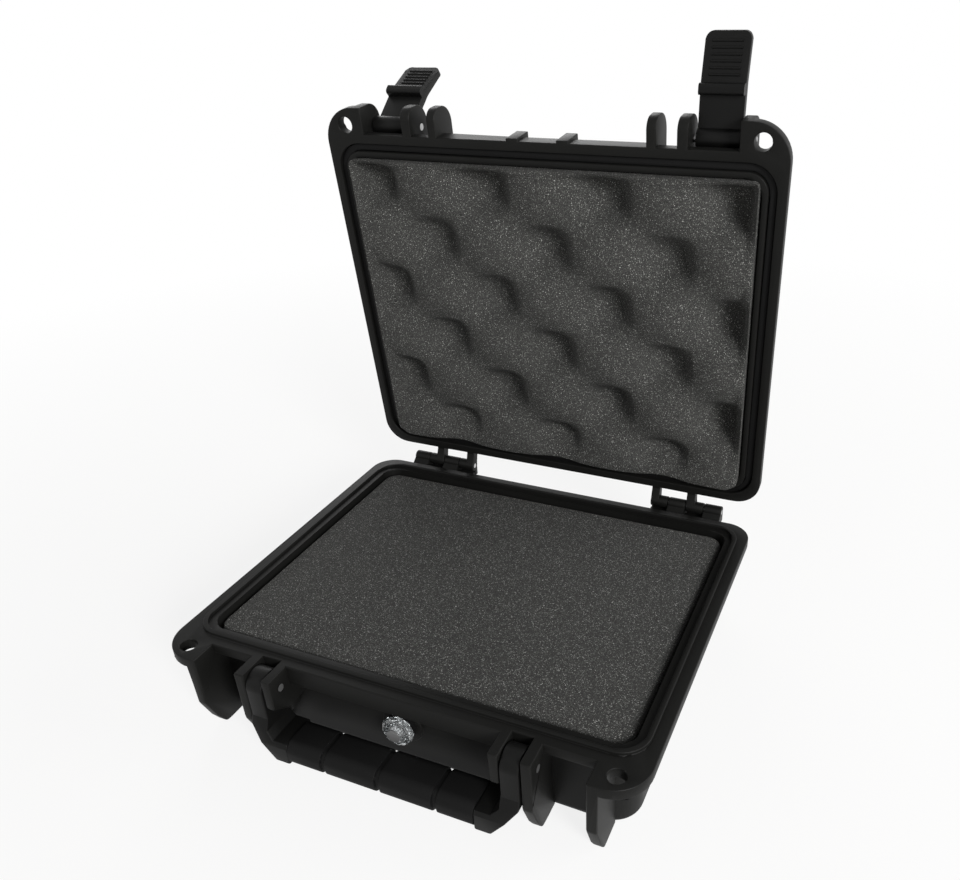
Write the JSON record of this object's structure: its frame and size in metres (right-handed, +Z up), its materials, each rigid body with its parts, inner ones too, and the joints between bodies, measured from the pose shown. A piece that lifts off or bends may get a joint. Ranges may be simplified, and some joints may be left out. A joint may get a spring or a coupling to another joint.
{
  "type": "hard protective case",
  "caption": "Small hard protective case in black moulded plastic, open, with egg-crate foam in the lid, snap latches, swing handle and purge valve",
  "frame": {"origin": "centre of the flat underside of the base, where the case rests", "axes": "X runs along the case to the right as seen from the front, +Y runs back to the hinges, +Z up through the base"},
  "size_m": [0.21, 0.218, 0.2557],
  "materials": {
    "shell_plastic": "black moulded polypropylene with a fine grain",
    "latch_plastic": "black moulded nylon, satin",
    "handle_plastic": "black moulded nylon, satin",
    "grip_rubber": "soft black overmoulding, matt",
    "seal_rubber": "black seal rubber, matt",
    "foam": "dark grey open-cell polyurethane foam",
    "steel": "stainless steel pin",
    "valve_metal": "turned stainless steel",
    "clear_plastic": "clear polycarbonate"
  },
  "bodies": {
    "base": {"base_shell": "shell_plastic", "base_foam": "foam", "hinge_pin_left": "steel", "hinge_pin_right": "steel", "handle_pin_left": "steel", "handle_pin_right": "steel", "valve_bushing": "valve_metal", "valve_nut": "valve_metal", "valve_seal": "seal_rubber"},
    "lid": {"lid_shell": "shell_plastic", "lid_gasket": "seal_rubber", "lid_foam": "foam", "latch_pin_left": "steel", "latch_pin_right": "steel"},
    "latch_left": {"latch_left": "latch_plastic"},
    "latch_right": {"latch_right": "latch_plastic"},
    "handle": {"handle_frame": "handle_plastic", "handle_grip": "grip_rubber"},
    "valve_knob": {"valve_knob": "clear_plastic", "valve_stem": "valve_metal"}
  },
  "joints": [
    {"name": "lid_hinge", "type": "hinge", "parent": "base", "child": "lid", "pos_m": [0, 0.0913, 0.04165], "axis": [1, 0, 0], "range_deg": [0, 84]},
    {"name": "latch_left_hinge", "type": "hinge", "parent": "lid", "child": "latch_left", "pos_m": [0, 0.08329, 0.21788], "axis": [1, 0, 0], "range_deg": [-5, 147]},
    {"name": "latch_right_hinge", "type": "hinge", "parent": "lid", "child": "latch_right", "pos_m": [0, 0.08329, 0.21788], "axis": [1, 0, 0], "range_deg": [-56, 96]},
    {"name": "handle_hinge", "type": "hinge", "parent": "base", "child": "handle", "pos_m": [0, -0.08815, 0.0344], "axis": [-1, 0, 0], "range_deg": [0, 130]},
    {"name": "valve_turn", "type": "hinge", "parent": "base", "child": "valve_knob", "pos_m": [0, -0.083, 0.0207], "axis": [0, 1, 0], "range_deg": [0, 270]}
  ]
}
